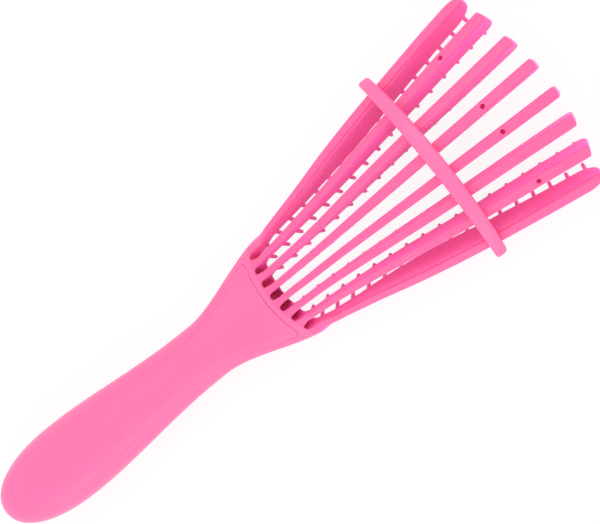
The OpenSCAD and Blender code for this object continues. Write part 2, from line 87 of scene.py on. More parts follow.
# sideways set of each arm, in millimetres, at shares of its length, measured at the arms' edges in
# the photograph
SET_AT = (0.04, 0.14, 0.26, 0.37, 0.49, 0.66, 0.78, 0.84, 1)
SET = {1: (0, 0.05, 0.05, -0.3, -0.4, -0.55, -0.75, -0.9, -1.05),
       2: (0, 0.2, 0.2, 0.15, -0.05, -0.4, -0.85, -1.0, -1.1),
       3: (0, 0.3, 0.45, 0.35, 0.33, 0.36, 0.43, 0.43, 0.45),
       4: (0, -0.1, 0.0, 0.05, 0.15, 0.17, 0.17, 0.12, 0.1),
       5: (0, 0.3, 0.18, 0.1, 0.0, 0.0, 0.12, 0.2, 0.25),
       6: (0, -0.36, -0.38, -0.35, -0.33, -0.28, -0.32, -0.33, -0.35),
       7: (0, -0.45, -0.5, -0.45, -0.25, 0.0, 0.0, -0.12, -0.15),
       8: (0, -0.4, -0.4, -0.1, 0.05, 0.12, 0.08, 0.1, 0.1)}
# the crossbar's shift across and along the brush, and the shift along it that each end adds
BAR_SET, BAR_SHIFT, BAR_TURN = -0.35, -0.38, 0.24
# rounding of a tip: its corners seen from the back, its back edge, how far an inner tip runs past
# its solid, and its lower corner as run and height
TIP_SIDE, TIP_TOP, TIP_MORE = 0.85, 0.4, 0.3
INNER_LOW, OUTER_LOW = (3.4, 3.4), (8.0, 6.2)
SOFT_INNER, SOFT_OUTER = 0.95, 1.5
BARREL_BACK = 3.0
BAR_IN, BAR_BOW, BAR_W, BAR_END_W = 46.2, 3.8, 5.1, 4.2
BAR_T, BAR_OVER, BAR_GAP, BAR_POWER = 3.0, 3.4, 0.35, 4.0
HOOK_T, HOOK_W, HOOK_D, HOOK_GAP, HOOK_SHIFT = 1.6, 2.5, 4.4, 0.15, 0.25
# how far along an arm its skin passes from the handle's motion to its own
BLADE_Y0 = BARREL_BACK * 0.86 + 0.25


def mix(a, b, t):
    return a + (b - a) * t


def smooth(t):
    t = np.clip(t, 0, 1)
    return t * t * (3 - 2 * t)


def sag(r, x):
    return r - np.sqrt(r * r - x * x)


def sind(a):
    return math.sin(math.radians(a))


def cosd(a):
    return math.cos(math.radians(a))


# Lines that the arms follow
arc_rate = (TIP_R - ROOT_R) / (LENGTH - ROOT_AT)
rise_rate = ARM_RISE / (LENGTH - ROOT_AT)
BAR_AT = LENGTH - BAR_IN
HEAD_R = ROOT_R + arc_rate * (SLOT_AT - ROOT_AT)


def arc_r(y):
    return ROOT_R + arc_rate * (y - ROOT_AT)


def tilt(i):
    return (i - 0.5) * ARM_ANGLE


def slot_line(x):
    return SLOT_AT + sag(SLOT_BOW, x)


def barrel_y(i):
    return slot_line(arc_r(SLOT_AT) * sind(tilt(i))) - BARREL_BACK


def yaw(i):
    return math.degrees(math.atan(arc_rate * sind(tilt(i))))


def fall(i):
    return math.degrees(math.atan((rise_rate - arc_rate * (1 - cosd(tilt(i)))) * cosd(yaw(i))))


def tip_y(i):
    x1 = arc_r(LENGTH) * sind(tilt(1))
    return LENGTH - ((arc_r(LENGTH) * sind(tilt(i))) ** 2 - x1 ** 2) / (2 * TIP_BOW)


def along(i, run):
    return run / (cosd(yaw(i)) * cosd(fall(i)))


def arm_len(i):
    return along(i, tip_y(i) - barrel_y(i))


def blade_share(i, y):
    return max(0.0, (y - BLADE_Y0) / (arm_len(i) - BLADE_Y0))


def back_w(i, y):
    return mix(ARM_ROOT_W, ARM_TIP_W, y / arm_len(i))


def blade_d(i, y):
    share = y / arm_len(i)
    mid, tip = (OUTER_MID_D, OUTER_TIP_D) if i == HALF else (ARM_MID_D, ARM_TIP_D)
    if share < DEEP:
        return mix(ARM_ROOT_D, mid, float(smooth(share / DEEP)))
    return mix(mid, tip, float(smooth((share - DEEP) / (1 - DEEP))))


def hump(t):
    return 4 * t * (1 - t)


def sway(i, y):
    t = blade_share(i, y)
    ease = t / EASE_SHARE
    pull = ease * (1 - ease) ** 2 * 27 / 4 if ease < 1 else 0.0
    return (OUTER_BOW * hump(t) if i == HALF else 0.0) - ARM_EASE * pull


def lift(i, y):
    return ARM_ARCH * hump(blade_share(i, y))


def bow(i, y):
    return sway(i, y) - lift(i, y) * sind(tilt(i))


def arch(i, y):
    return lift(i, y) * cosd(tilt(i))


def arch_angle(i, y):
    return math.degrees(math.atan(4 * ARM_ARCH * cosd(tilt(i)) * (1 - 2 * blade_share(i, y))
                                  / (arm_len(i) - BLADE_Y0)))


def ledge(i, y):
    share = y / arm_len(i)
    if i != HALF:
        return 0.0
    return STEP_W * max(0.15, min(float(smooth((share - 0.12) / 0.18)), float(smooth((0.85 - share) / 0.17))))


def peg_y(i, n):
    return along(i, mix(PEG_FIRST, tip_y(i) - PEG_LAST_IN, n / (PEGS - 1)) - barrel_y(i))


PEG_REACH = PEG_LEN - PEG_TIP


def hang(i, x, y, z):
    return y * sind(fall(i)) + (z * cosd(tilt(i)) - x * sind(tilt(i))) * cosd(fall(i))


def arm_drop(i):
    return arc_r(barrel_y(i)) * (1 - cosd(tilt(i))) + rise_rate * (LENGTH - barrel_y(i))


def peg_low(n):
    y = peg_y(HALF, n)
    turn = arch_angle(HALF, y)
    return hang(HALF, bow(HALF, y), y + PEG_REACH * sind(turn),
                arch(HALF, y) - blade_d(HALF, y) - PEG_REACH * cosd(turn)) - arm_drop(HALF) - PEG_TIP


TOP_Z = -min(peg_low(n) for n in range(PEGS))


def line_z(y):
    return TOP_Z - rise_rate * (LENGTH - y)


def turn_about(axis, degrees):
    return np.array(Matrix.Rotation(math.radians(degrees), 3, axis))


def arm_frame(i):
    """Turn and place of an arm's own frame: X across its blade, Y along it, Z out of its back."""
    turn = turn_about("Z", -yaw(i)) @ turn_about("X", fall(i)) @ turn_about("Y", tilt(i))
    place = np.array([arc_r(barrel_y(i)) * sind(tilt(i)), barrel_y(i) - LENGTH / 2, TOP_Z - arm_drop(i)])
    return turn, place


# Skin of the handle and head
def half_w(y):
    y = np.asarray(y, float)
    butt = HANDLE_W / 2 * np.power(np.clip(1 - np.power(np.clip(1 - y / BELLY_AT, 0, 1), BUTT_POWER), 0, 1),
                                   1 / BUTT_POWER)
    grip = mix(HANDLE_W, NECK_W, smooth((y - BELLY_AT) / (NECK_AT - BELLY_AT))) / 2
    head = mix(NECK_W, HEAD_W, smooth((y - NECK_AT - NECK_LEN) / (FLARE_AT - NECK_AT - NECK_LEN))) / 2
    return np.where(y < BELLY_AT, butt, np.where(y < NECK_AT, grip, head))


def half_t(y):
    y = np.asarray(y, float)
    butt = HANDLE_T / 2 * np.power(np.clip(1 - np.power(np.clip(1 - y / BELLY_AT, 0, 1), BUTT_POWER), 0, 1),
                                   1 / BUTT_POWER)
    grip = mix(HANDLE_T, NECK_T, smooth((y - BELLY_AT) / (NECK_AT - BELLY_AT))) / 2
    head = mix(NECK_T, HEAD_T, smooth((y - NECK_AT) / (SLOT_AT - BARREL_BACK - NECK_AT))) / 2
    return np.where(y < BELLY_AT, butt, np.where(y < NECK_AT, grip, head))


def mid_z(y):
    rise = (np.maximum(0, y - BELLY_AT) / (SLOT_AT - BELLY_AT)) ** 2
    return mix(HANDLE_T / 2, line_z(SLOT_AT) - HEAD_T / 2, rise)


def bend_r(y):
    return HEAD_R / np.maximum(smooth((y - NECK_AT) / (SLOT_AT - BARREL_BACK - NECK_AT)), 0.001)


def squareness(y):
    return float(mix(BELLY_POWER, HEAD_POWER, smooth((y - NECK_AT) / (SLOT_AT - NECK_AT))))


def seam_pull(y0):
    """How far the stations follow the bow of the seam, and the radius of that bow."""
    return float(smooth((y0 - 60) / 58)), mix(SEAM_BOW, SLOT_BOW, float(smooth((y0 - COVER_SEAM) / 2)))


def skin_point(y0, share, up):
    """Points of the handle's skin: share is -1..1 across it, up is -1..1 through it."""
    share, up = np.asarray(share, float), np.asarray(up, float)
    pull, bow_r = seam_pull(y0)
    y = np.full(share.shape, float(y0))
    for _ in range(4):
        r = bend_r(y)
        z = half_t(y) * (up - 1)
        turn = share * np.arcsin(np.clip(half_w(y) / r, 0, 1))
        x = (r + z) * np.sin(turn)
        y = y0 + pull * sag(bow_r, np.clip(x, -40, 40))
    height = mid_z(y) + half_t(y) + (r + z) * np.cos(turn) - r
    return np.stack([x, y - LENGTH / 2, height], -1)


def up_of(share, p):
    return np.power(np.clip(1 - np.abs(share) ** p, 0, 1), 1 / p)


def around(angle, p):
    """Share across and through a section for a polar angle, in degrees."""
    c, s = np.cos(np.radians(angle)), np.sin(np.radians(angle))
    size = (np.abs(c) ** p + np.abs(s) ** p) ** (1 / p)
    return c / size, s / size


def angle_at(share, p):
    share = np.clip(share, 1e-6, 1)
    return np.degrees(np.arctan(np.power(np.clip(share ** -p - 1, 0, None), 1 / p)))


def cover_half(g, y):
    return half_w(y) + g - mix(COVER_INSET, SEAM_INSET, smooth((y - NECK_AT) / (COVER_SEAM - NECK_AT)))


def cover_edge(g, y0):
    """Half width of the cover's outline at a station, with its round end and its corners."""
    start, r = COVER_END - g, COVER_CORNER + g
    if y0 <= start:
        return 0.0
    if y0 < start + COVER_ROUND:
        t = 1 - (y0 - start) / COVER_ROUND
        return float(cover_half(g, start + COVER_ROUND)) * math.sqrt(1 - t * t)
    side = float(cover_half(g, min(y0, COVER_SEAM - COVER_CORNER)))
    past = min(r, max(0.0, y0 - (COVER_SEAM + g - r)))
    return side - r + math.sqrt(r * r - past * past)


def share_at(y0, x):
    r = float(bend_r(y0))
    return min(1.0, math.asin(min(1.0, x / r)) / math.asin(min(1.0, max(1e-6, float(half_w(y0)) / r))))


def plan_outline(g):
    ys = [COVER_END - g + COVER_ROUND * (1 - cosd(a)) for a in range(0, 90, 3)]
    ys += list(np.linspace(COVER_END - g + COVER_ROUND, COVER_SEAM + g - COVER_CORNER - g, 90))
    ys += [COVER_SEAM - COVER_CORNER + (COVER_CORNER + g) * sind(a) for a in range(6, 91, 6)]
    right = []
    for y0 in ys:
        x = cover_edge(g, y0)
        pull, bow_r = seam_pull(y0)
        right.append((x, y0 + pull * float(sag(bow_r, x)) - LENGTH / 2))
    x_end = right[-1][0]
    for x in np.linspace(x_end, 0, 12)[1:]:
        right.append((x, COVER_SEAM + g + float(sag(SEAM_BOW, x)) - LENGTH / 2))
    left = [(-x, y) for x, y in right[-2:0:-1]]
    return np.array(right + left)


def distance(points, line):
    """Shortest distance in plan from each point to a closed line."""
    a, b = line, np.roll(line, -1, 0)
    d = b - a
    size = np.maximum((d * d).sum(1), 1e-12)
    best = np.full(len(points), 1e9)
    for k in range(len(a)):
        t = np.clip(((points - a[k]) @ d[k]) / size[k], 0, 1)
        gap = points - (a[k] + t[:, None] * d[k])
        best = np.minimum(best, np.hypot(gap[:, 0], gap[:, 1]))
    return best


def grid_normals(grid):
    along_row = np.roll(grid, -1, 1) - np.roll(grid, 1, 1)
    along_row[:, 0], along_row[:, -1] = grid[:, 1] - grid[:, 0], grid[:, -1] - grid[:, -2]
    down = np.empty_like(grid)
    down[1:-1] = grid[2:] - grid[:-2]
    down[0], down[-1] = grid[1] - grid[0], grid[-1] - grid[-2]
    n = np.cross(along_row, down)
    size = np.linalg.norm(n, axis=-1, keepdims=True)
    n = np.where(size > 1e-9, n / np.maximum(size, 1e-12), [0, 0, 1.0])
    return n


def seam_gap(y0):
    return mix(SIDE_GAP, NECK_GAP, float(smooth((y0 - LIP_TURN) / GAP_RUN)))


def lip(gap, y):
    """Drop of a rounded lip at a distance from the seam."""
    across = smooth((y + LENGTH / 2 - LIP_TURN) / LIP_RUN)
    drop, run = mix(SIDE_LIP[0], NECK_LIP[0], across), mix(SIDE_LIP[1], NECK_LIP[1], across)
    t = np.clip(1 - gap / run, 0, 1)
    return drop * np.where(across > 0.5, 1 - np.sqrt(1 - t * t), t * t)


# Making pieces
def make_piece(name, shells, sharp=32):
    """A mesh piece from shells of (points in millimetres, faces)."""
    bm = bmesh.new()
    for points, faces in shells:
        made = [bm.verts.new([float(v) * MM for v in p]) for p in points]
        for face in faces:
            ring = [made[k] for k in face]
            if len(set(ring)) >= 3:
                try:
                    bm.faces.new(ring)
                except ValueError:
                    pass
    bmesh.ops.remove_doubles(bm, verts=bm.verts, dist=2e-7)
    bmesh.ops.dissolve_degenerate(bm, edges=bm.edges, dist=1e-7)
    bmesh.ops.recalc_face_normals(bm, faces=bm.faces)
    mesh = bpy.data.meshes.new(name)
    bm.to_mesh(mesh)
    bm.free()
    mesh.polygons.foreach_set("use_smooth", [True] * len(mesh.polygons))
    mesh.set_sharp_from_angle(angle=math.radians(sharp))
    obj = bpy.data.objects.new(name, mesh)
    bpy.context.scene.collection.objects.link(obj)
    return obj


def grid_faces(rows, cols, ring=True, first=0):
    faces = []
    for j in range(rows - 1):
        for k in range(cols if ring else cols - 1):
            k2 = (k + 1) % cols
            faces.append((first + j * cols + k, first + j * cols + k2,
                          first + (j + 1) * cols + k2, first + (j + 1) * cols + k))
    return faces


def lofted(rings):
    """A closed shell over rings of equal counts of points."""
    rings = np.array(rings)
    rows, cols = rings.shape[:2]
    faces = grid_faces(rows, cols)
    faces.append(tuple(range(cols))[::-1])
    faces.append(tuple((rows - 1) * cols + k for k in range(cols)))
    return rings.reshape(-1, 3), faces


EDGE_STEPS = np.array([0, 0.05, 0.12, 0.22, 0.36, 0.54, 0.78, 1.1])


def ring_shares(y0, g):
    """Right half of a section, from the middle below to the middle on top, with the cover's
    edge doubled: shares across and through it, and whether each point lies under the cover."""
    p = squareness(y0)
    edge = share_at(y0, cover_edge(g, y0))
    width = max(float(half_w(y0)), 1e-4)
    room = (1 - edge) * width
    steps = EDGE_STEPS[::-1] * min(1.0, room / 2.4)
    near = edge + steps / width
    start = float(angle_at(near[0], p))
    below = np.linspace(-90, 0, 25)[:-1]
    side = np.linspace(0, start, 13)[:-1]
    s1, u1 = around(np.concatenate([below, side]), p)
    floor = np.linspace(edge, 0, 15)
    share = np.concatenate([s1, near, floor])
    up = np.concatenate([u1, up_of(near, p), up_of(floor, p)])
    under = np.concatenate([np.zeros(len(s1) + len(near), bool), np.ones(len(floor), bool)])
    return share, up, under


def handle_skin():
    g = SIDE_GAP
    butt = [BELLY_AT * (1 - cosd(a)) for a in np.arange(0, 90.1, 3)]
    tip = [COVER_END - g + COVER_ROUND * (1 - cosd(a)) for a in
           (0, 3, 7, 11, 16, 21, 27, 34, 42, 50, 60, 70, 80)]
    grip = list(np.linspace(BELLY_AT, 118.5, 74))
    corner = [COVER_SEAM - COVER_CORNER + (COVER_CORNER + NECK_GAP) * sind(a) for a in range(0, 90, 9)]
    stations = sorted(butt + tip + grip + [119.2, 119.6] + corner)
    slim = [stations[0]]
    for y0 in stations[1:]:
        if y0 - slim[-1] > 0.03:
            slim.append(y0)
    seam = COVER_SEAM + NECK_GAP
    slim = [y0 for y0 in slim if y0 < seam - 0.02]
    rows = [(y0, True) for y0 in slim] + [(seam, True), (seam, False)]
    rows += [(seam + d, False) for d in (0.05, 0.12, 0.22, 0.36, 0.54, 0.78, 1.1, 1.5)] + [(ROOT_CUT, False)]
    grid, under, covered = [], [], []
    for y0, inside in rows:
        share, up, below = ring_shares(min(y0, seam), seam_gap(y0))
        p = squareness(y0)
        if y0 > seam:
            up = np.where(up >= 0, up_of(share, p), -up_of(share, p))
        full_share = np.concatenate([share, -share[-2:0:-1]])
        full_up = np.concatenate([up, up[-2:0:-1]])
        full_under = np.concatenate([below, below[-2:0:-1]])
        grid.append(skin_point(y0, full_share, full_up))
        under.append(full_under & inside & (y0 > COVER_END - g + 1e-6))
        covered.append(full_up > 0)
    grid, under, covered = np.array(grid), np.array(under), np.array(covered)
    rows_n, cols = grid.shape[:2]
    normal = grid_normals(np.concatenate([grid, grid[:, :1]], 1))[:, :cols]
    centre = grid.mean(1, keepdims=True)
    flip = ((grid - centre) * normal).sum(-1, keepdims=True) < 0
    normal = np.where(flip, -normal, normal)
    gap = distance(grid[:, :, :2].reshape(-1, 2), plan_outline(NECK_GAP)).reshape(rows_n, cols)
    drop = np.where(under, COVER_T + 0.5, np.where(covered, lip(gap, grid[:, :, 1]), 0.0))
    grid = grid - normal * drop[:, :, None]
    # the last rings tuck in under the roots of the arms
    tuck = grid[-1].copy()
    middle = tuck.mean(0)
    inner = middle + (tuck - middle) * [0.97, 1, 0.94]
    last = inner + [0, 0.8, 0]
    rings = np.concatenate([grid, inner[None], last[None]])
    return lofted(rings)


def cover_skin():
    g = 0.0
    tip = [COVER_END + COVER_ROUND * (1 - cosd(a)) for a in
           (0, 1.5, 3, 5, 7, 10, 13, 17, 21, 27, 34, 42, 50, 60, 70, 80)]
    side = list(np.linspace(COVER_END + COVER_ROUND, 118.6, 80))
    corner = [COVER_SEAM - COVER_CORNER + COVER_CORNER * sind(a) for a in range(0, 91, 7)]
    close = [COVER_SEAM - d for d in EDGE_STEPS]
    stations = sorted(set(tip + side + [119.2, 119.6] + corner + close))
    slim = [stations[0]]
    for y0 in stations[1:]:
        if y0 - slim[-1] > 0.015:
            slim.append(y0)
    if COVER_SEAM - slim[-1] > 1e-6:
        slim[-1] = COVER_SEAM
    grid = []
    for y0 in slim:
        p = squareness(y0)
        edge = cover_edge(g, y0)
        steps = EDGE_STEPS * min(1.0, edge / 2.4)
        xs = np.concatenate([edge - steps, np.linspace(edge - steps[-1], 0, 12)[1:]])
        share = np.array([share_at(y0, max(0.0, x)) for x in xs])
        share = np.concatenate([share, -share[-2::-1]])
        grid.append(skin_point(y0, share, up_of(share, p)))
    grid = np.array(grid)
    rows, cols = grid.shape[:2]
    normal = grid_normals(grid)
    normal = np.where(normal[:, :, 2:] < 0, -normal, normal)
    gap = distance(grid[:, :, :2].reshape(-1, 2), plan_outline(g)).reshape(rows, cols)
    top = grid - normal * lip(gap, grid[:, :, 1])[:, :, None]
    low = grid - normal * COVER_T
    points = np.concatenate([top.reshape(-1, 3), low.reshape(-1, 3)])
    n = rows * cols
    faces = grid_faces(rows, cols, ring=False)
    faces += [f[::-1] for f in grid_faces(rows, cols, ring=False, first=n)]
    rim = list(range(cols))
    rim += [j * cols + cols - 1 for j in range(1, rows)]
    rim += [(rows - 1) * cols + k for k in range(cols - 2, -1, -1)]
    rim += [j * cols for j in range(rows - 2, 0, -1)]
    for a, b in zip(rim, rim[1:] + rim[:1]):
        faces.append((a, b, b + n, a + n))
    return points, faces


# Skins of the arms
TOP_N = 9
BEND = [math.radians(a) for a in (0, 15, 30, 45, 60, 75, 90)]


def index(number):
    """An arm's place counted from the middle, 1 to 4, on either side."""
    return number - HALF if number > HALF else HALF + 1 - number


def skin_d(number, y):
    i = index(number)
    return blade_d(i, y) - float(np.interp(y / arm_len(i), THIN_AT, THIN[number]))


def blade_outline(x_in, x_out, d, shelf, r_in, r_out, r):
    """Section of a blade in its own X and Z, counter-clockwise seen along the arm."""
    mid = (x_in + x_out) / 2
    f_in, f_out = mid + (x_in - mid) * DRAFT, mid + (x_out - mid) * DRAFT
    under = max(STEP_D, r_in * 1.1)
    top = [(mix(x_in + r_in, x_out - r_out, k / (TOP_N - 1)), 0.0) for k in range(TOP_N)]
    out = [(x_out - r_out + r_out * math.sin(a), -r_out + r_out * math.cos(a)) for a in BEND[1:]]
    wall_out = [(mix(x_out, f_out, t), mix(-r_out, r - d, t)) for t in (0.25, 0.5, 0.75)]
    low_out = [(f_out - r + r * math.cos(a), r - d - r * math.sin(a)) for a in BEND[::2]]
    low_in = [(f_in + r - r * math.sin(a), r - d - r * math.cos(a)) for a in BEND[::2]]
    foot = -under - shelf - r
    wall_in = [(mix(f_in, x_in - shelf * 0.6, t), mix(r - d, foot, t)) for t in (0.3, 0.6)]
    step = [(x_in - shelf * 0.8, foot), (x_in - shelf, foot + r * 0.5), (x_in - shelf, -under - r * 0.45),
            (x_in - shelf * 0.85, -under - r * 0.15), (x_in - shelf * 0.55, -under),
            (x_in - shelf * 0.12, -under), (x_in, -under + (under - r_in) * 0.12)]
    back_in = [(x_in + r_in - r_in * math.cos(a), -r_in + r_in * math.sin(a)) for a in BEND[:-1]]
    return np.array(top + out + wall_out + low_out + low_in + wall_in + step + back_in)


def skin_end(i):
    """Where the middle of an arm's tip ends, a little past its solid for an inner arm."""
    return arm_len(i) + (TIP_MORE if i < HALF else 0)


def rounding(y, end, run):
    """Share of its size that a round corner has lost at y, where it runs out at an end."""
    t = min(1.0, max(0.0, (y - end + run) / run))
    return 1 - math.sqrt(1 - t * t)


def blade_ring(number, y):
    i = index(number)
    w, end, share = back_w(i, y), skin_end(i), y / arm_len(i)
    side = TIP_SIDE * rounding(y, end, TIP_SIDE)
    low_run, low_high = OUTER_LOW if i == HALF else INNER_LOW
    cut_out = w * TUSK * rounding(y, end, TUSK_RUN * ARM_TIP_W) if i == HALF else side
    slant = 0 if i == HALF else SLANT * (i - 1) * min(1.0, max(0.0, (y - end) / low_run + 1))
    top = TIP_TOP * rounding(y, end, TIP_TOP * 1.3)
    d = skin_d(number, y) - top - low_high * rounding(y, end, low_run)
    x_in, x_out = bow(i, y) - w / 2 + side, bow(i, y) + w / 2 - cut_out
    most = (x_out - x_in) * 0.3
    soft = SOFT_OUTER if i == HALF else SOFT_INNER
    r_out = min(most, mix(EDGE_R, soft, float(smooth((share - 0.35) / 0.6))))
    soft_in = (share - 0.8) / 0.2 if i == HALF else (share - 0.35) / 0.6
    r_in = min(most, mix(EDGE_R, soft, float(smooth(soft_in))))
    flat = blade_outline(x_in, x_out, d, ledge(i, y), r_in, r_out, min(EDGE_R, most))
    return np.stack([flat[:, 0], y - slant * (flat[:, 0] + w / 2), flat[:, 1] + arch(i, y) - top], -1)


def to_world(i, points):
    turn, place = arm_frame(i)
    return points @ turn.T + place


SLOT_HALF = HEAD_R * math.radians(ARM_ANGLE / 2) - ARM_ROOT_W / 2 - 0.02
# from where to where past the slot's end the head's section turns into a blade's
OPEN_INNER, OPEN_OUTER = (0.8, 5.2), (-0.2, 9.5)
# how much of the head's depth the bristle side rises by, and where it starts and its run
ROOT_LIFT, LIFT_FROM, LIFT_RUN = 0.5, 1.0, 2.0
# how much further out a slot ends below than on the back
SLOT_LOW = 1.6
# share of the head's half width where an outer arm's flat back turns into the head's rounded side
SHOULDER = 0.93


def slot_half(y0):
    left = SLOT_HALF - np.clip(y0 - SLOT_AT, 0, SLOT_HALF)
    return np.sqrt(SLOT_HALF ** 2 - left ** 2)


def root_ring(i, y0):
    """Section of the head's share of an arm, with as many points as a blade's section."""
    gap = slot_half(y0)
    r = EDGE_R * float(smooth((y0 - SLOT_AT) / 1.4)) + 1e-4
    p = squareness(min(y0, SLOT_AT))
    inner = HEAD_R * math.radians((i - 1) * ARM_ANGLE) + gap
    t = float(half_t(y0)) * 2
    width = math.asin(min(1, float(half_w(y0)) / HEAD_R)) * HEAD_R
    if i < HALF:
        outer = HEAD_R * math.radians(i * ARM_ANGLE) - gap
        flat = blade_outline(inner, outer, t, 0.0, r, r, r)
        mid = (inner + outer) / 2
        depth = np.clip(-flat[:, 1] / t, 0, 1)
        wide = mix(1, DRAFT, depth)
        flat[:, 0] = np.where(depth > 0, mid + (flat[:, 0] - mid) / wide, flat[:, 0])
    else:
        flat = blade_outline(inner, width, t, 0.0, r, r, r)
        count_out = TOP_N + len(BEND) - 1 + 3 + 4
        turn = float(angle_at(SHOULDER, p))
        angles = np.linspace(turn, -turn, count_out - TOP_N + 2)[1:-1]
        s, u = around(angles, p)
        flat[TOP_N:count_out, 0] = s * width
        flat[TOP_N:count_out, 1] = (u - 1) * t / 2
        top = np.linspace(0, 1, TOP_N)
        flat[:TOP_N, 0] = mix(inner + r, SHOULDER * width, top)
        flat[count_out:count_out + 4, 0] = np.linspace(SHOULDER * width, inner + r, 5)[1:]
        flat[count_out:count_out + 4, 1] = -t
        rest = slice(count_out + 4, len(flat))
        depth = np.clip(-flat[rest, 1] / t, 0, 1)
        flat[rest, 0] = np.maximum(np.where(depth > r / t, inner, flat[rest, 0]), inner)
    # the floor of the slot's end slopes outwards from the back to the bristle side
    low = gap - slot_half(y0 - SLOT_LOW * np.clip((-flat[:, 1] / t - 0.3) / 0.6, 0, 1))
    middle = (inner + (outer if i < HALF else width)) / 2
    flat[:, 0] += np.where(flat[:, 0] < middle, -low, low if i < HALF else 0)
    share = flat[:, 0] / width
    up = 1 + flat[:, 1] / (t / 2)
    crown = up_of(np.clip(share, -1, 1), p)
    if i < HALF:
        up = up * crown
    else:
        up = np.where(np.abs(up) > 0.999, np.sign(up) * crown, up)
        inner_side = np.arange(len(flat)) >= TOP_N + len(BEND) - 1 + 3 + 4
        up = np.where(inner_side, up * crown[-1], up)
    # the bristle side rises soon after the slot's end, on an outer arm only beside the slot
    near = smooth((SHOULDER * width - flat[:, 0]) / (SHOULDER * width - inner)) if i == HALF else 1.0
    up = up + (1 - up) * near * ROOT_LIFT * float(smooth((y0 - SLOT_AT - LIFT_FROM) / LIFT_RUN))
    return skin_point(y0, share, up)


def arm_rings(number):
    i = index(number)
    rings = []
    open_from, open_run = OPEN_OUTER if i == HALF else OPEN_INNER
    y_end = SLOT_AT + open_run
    ys = [ROOT_CUT] + list(np.linspace(ROOT_CUT + 0.4, SLOT_AT, 4))
    ys += [SLOT_AT + SLOT_HALF * (1 - cosd(a)) for a in range(12, 90, 11)]
    ys += list(np.linspace(SLOT_AT + SLOT_HALF, y_end, 12))
    for y0 in ys:
        t = float(smooth((y0 - SLOT_AT - open_from) / (open_run - open_from)))
        root = root_ring(i, y0)
        if t <= 0:
            rings.append(root)
            continue
        run = along(i, y0 - SLOT_AT + BARREL_BACK)
        blade = to_world(i, blade_ring(number, run))
        rings.append(mix(root, blade, t))
    first = along(i, y_end - SLOT_AT + BARREL_BACK)
    run = OUTER_LOW[0] if i == HALF else INNER_LOW[0]
    last = skin_end(i) - run
    for k in range(1, 71):
        rings.append(to_world(i, blade_ring(number, mix(first, last, k / 70))))
    for a in (8, 16, 24, 32, 40, 48, 56, 62, 67, 72, 76, 80, 83, 86, 88, 90):
        rings.append(to_world(i, blade_ring(number, last + run * sind(a))))
    return rings


def mirrored(points):
    return points * [-1, 1, 1]


def set_aside(number, points):
    """Moves points of an arm sideways by that arm's own set."""
    i = index(number)
    share = (points[..., 1] + LENGTH / 2 - barrel_y(i)) / (tip_y(i) - barrel_y(i))
    aside = np.interp(share, SET_AT, SET[number])
    return points + np.stack([aside, aside * 0, aside * 0], -1)


def pocket_ring(k, y0, size, low, high):
    """Section of a hollow between two arms, from a low to a high share of the head's thickness."""
    width = math.asin(float(half_w(y0)) / HEAD_R) * HEAD_R
    ring = []
    for a in range(0, 360, 24):
        c, u = around(a, 4.0)
        share = (HEAD_R * math.radians(k * ARM_ANGLE) + c * SLOT_HALF * size) / width
        ring.append((share, (low + high) / 2 + u * (high - low) / 2))
    ring = np.array(ring)
    return skin_point(y0, ring[:, 0], ring[:, 1])


def pocket_skins(k):
    """A slot's end: the round notch through the back, and the hollow under its edge."""
    notch = [pocket_ring(k, SLOT_AT - NOTCH + SLOT_HALF * (1 - cosd(a)), sind(a), POCKET_LOW, NOTCH_HIGH)
             for a in (4, 12, 24, 38, 54, 72, 90)]
    notch.append(pocket_ring(k, SLOT_AT + POCKET_OUT, 1.0, POCKET_LOW, NOTCH_HIGH))
    hollow = [pocket_ring(k, y0, size, POCKET_LOW, HOLLOW_HIGH)
              for y0, size in ((POCKET_AT, 0.7), (POCKET_AT + 0.5, 0.92), (SLOT_AT, 1.01))]
    return [lofted(notch), lofted(hollow)]


def dimple_skin(i):
    """Round pit in an arm's back, with a rounded floor."""
    y = along(i, LENGTH - DIMPLE_IN[i] - barrel_y(i))
    rings = []
    profile = ((0.4, -DIMPLE_D - 0.1), (0.75, -DIMPLE_D), (0.9, -DIMPLE_D * 0.8),
               (1, -0.1), (1.12, 0), (1.3, 1))
    for r, z in profile:
        rings.append(to_world(i, np.array([[bow(i, y) + DIMPLE_R * r * cosd(a), y + DIMPLE_R * r * sind(a),
                                            arch(i, y) + z] for a in range(0, 360, 12)])))
    return rings


# Crossbar
bar_y = along(HALF, BAR_AT - barrel_y(HALF))
bar_face = bow(HALF, bar_y) + back_w(HALF, bar_y) / 2
bar_z = arch(HALF, bar_y)
bar_past = sway(HALF, bar_y) + back_w(HALF, bar_y) / 2 + BAR_OVER


def bar_arc_r(y):
    return arc_r(y) + BAR_GAP + BAR_T / 2


bar_half = tilt(HALF) + math.degrees(bar_past / bar_arc_r(BAR_AT))
bar_end = BAR_END_W / 2 / (bar_arc_r(BAR_AT) * math.radians(bar_half))


def power(v, p):
    return np.sign(v) * np.abs(v) ** (2 / p)


def bar_ring(s, size, points=36):
    q = np.radians(360 * (np.arange(points) + 0.5) / points)
    a = math.radians(bar_half * s)
    y0 = BAR_AT + BAR_BOW * (1 - s * s) + BAR_SHIFT + BAR_TURN * s
    y = y0 + mix(BAR_W, BAR_END_W, s * s) / 2 * size * power(np.cos(q), BAR_POWER)
    r = bar_arc_r(y0) + BAR_T / 2 * size * power(np.sin(q), BAR_POWER)
    return np.stack([r * math.sin(a) + BAR_SET, y - LENGTH / 2,
                     line_z(y0) + lift(HALF, bar_y) - arc_r(y0) + r * math.cos(a)], -1)


